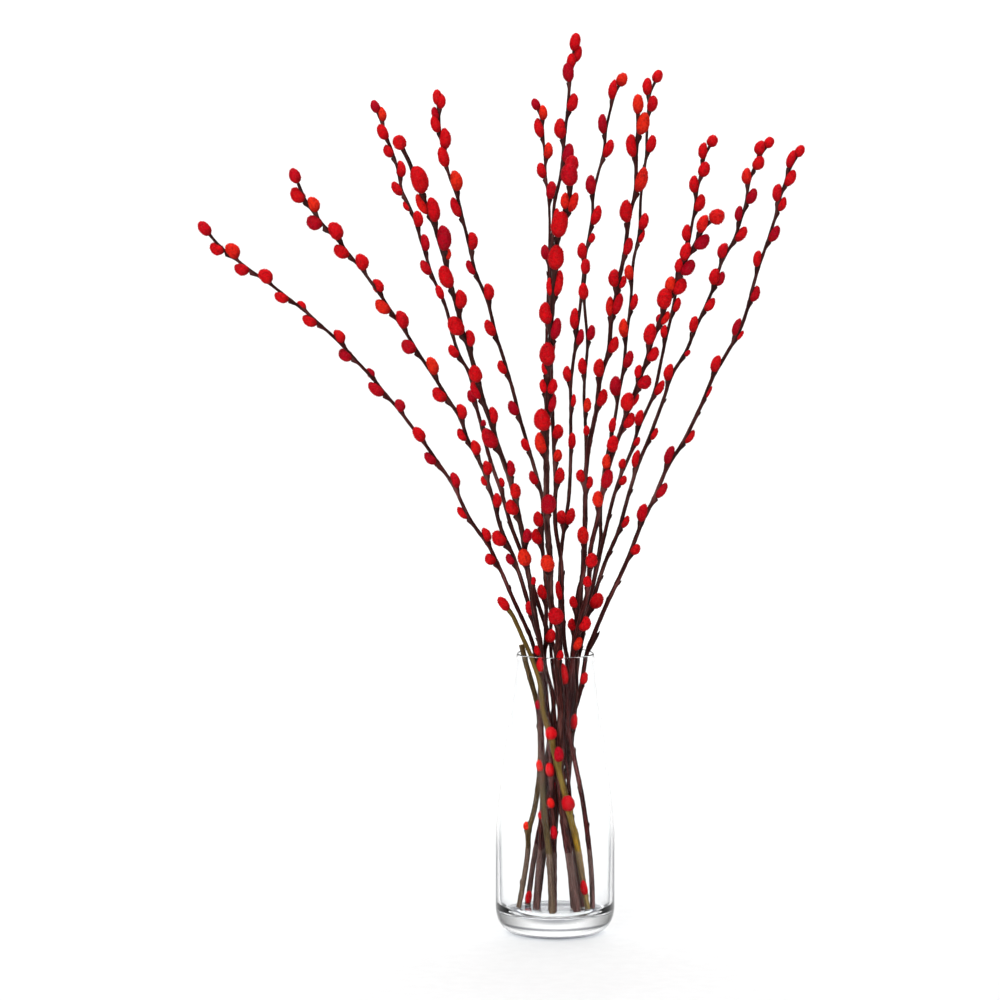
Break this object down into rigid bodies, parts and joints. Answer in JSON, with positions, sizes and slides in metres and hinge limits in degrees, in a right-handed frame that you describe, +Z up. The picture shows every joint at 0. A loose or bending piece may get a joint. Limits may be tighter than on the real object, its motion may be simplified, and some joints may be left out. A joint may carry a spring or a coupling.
{
  "type": "willow stems in a glass vase",
  "caption": "Red pussy willow stems with furry catkins, fanning out of a tall clear glass vase with a thick base; stands on its flat foot",
  "frame": {"origin": "centre of the vase's flat foot, on the surface that it stands on", "axes": "+Z up along the vase's axis, -Y towards the front of the bunch, +X to the right seen from the front"},
  "size_m": [0.5971, 0.3695, 0.9016],
  "materials": {
    "clear_glass": "gloss",
    "willow_bark": "satin",
    "olive_bark": "satin",
    "red_catkins": "matte"
  },
  "bodies": {
    "root": {"vase": "clear_glass", "willow_stem_01": "willow_bark", "willow_stem_02": "willow_bark", "willow_stem_03": "willow_bark", "willow_stem_04": "willow_bark", "willow_stem_05": "willow_bark", "willow_stem_06": "willow_bark", "willow_stem_07": "willow_bark", "willow_stem_08": "willow_bark", "willow_stem_09": "willow_bark", "willow_stem_10": "willow_bark", "willow_stem_11": "willow_bark", "willow_stem_12": "willow_bark", "willow_stem_13": "willow_bark", "willow_stem_14": "willow_bark", "willow_stem_15": "willow_bark", "willow_stem_16": "willow_bark", "short_willow_stem": "olive_bark", "cut_willow_twig": "willow_bark"}
  },
  "joints": []
}
